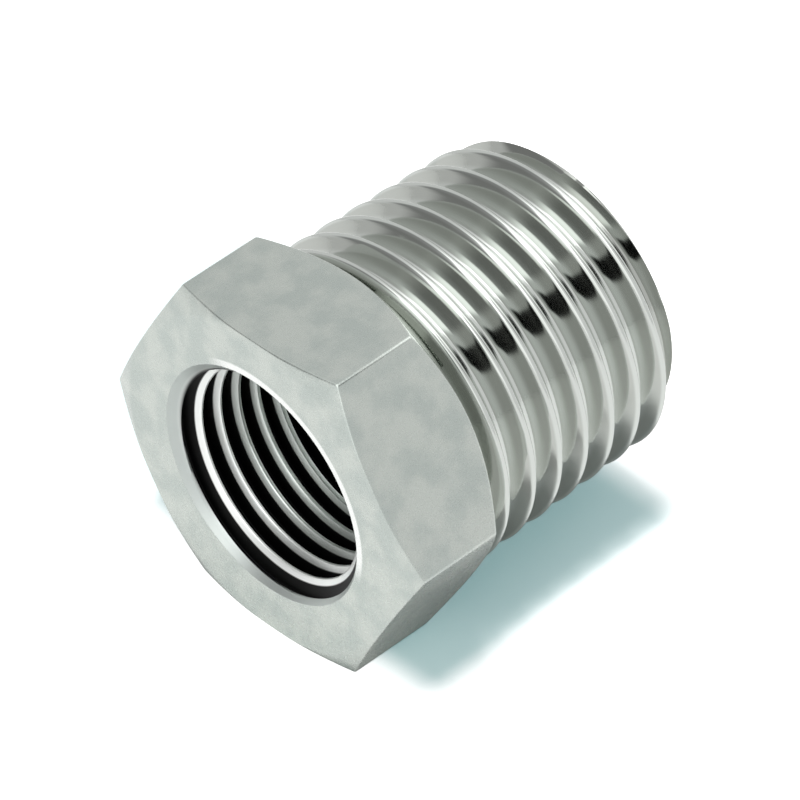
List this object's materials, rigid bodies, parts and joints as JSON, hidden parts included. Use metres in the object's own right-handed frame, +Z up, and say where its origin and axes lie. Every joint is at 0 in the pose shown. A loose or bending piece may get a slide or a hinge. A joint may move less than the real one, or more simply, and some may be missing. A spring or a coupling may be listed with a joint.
{
  "type": "hex bushing",
  "caption": "Stainless hex reducing bushing: a short hexagon with a threaded shank, and a smaller threaded hole through the middle.",
  "frame": {"origin": "centre of the hexagon's front face, on the axis, where the smaller pipe screws in", "axes": "+X along the axis towards the tip of the male thread, +Z up, square to the flat that the bushing lies under, with a flat of the hexagon at the bottom"},
  "size_m": [0.0156, 0.0164, 0.0142],
  "materials": {
    "body": "machined stainless steel: satin hexagon, bright cut threads"
  },
  "bodies": {
    "root": {"hex_bushing": "body"}
  },
  "joints": []
}
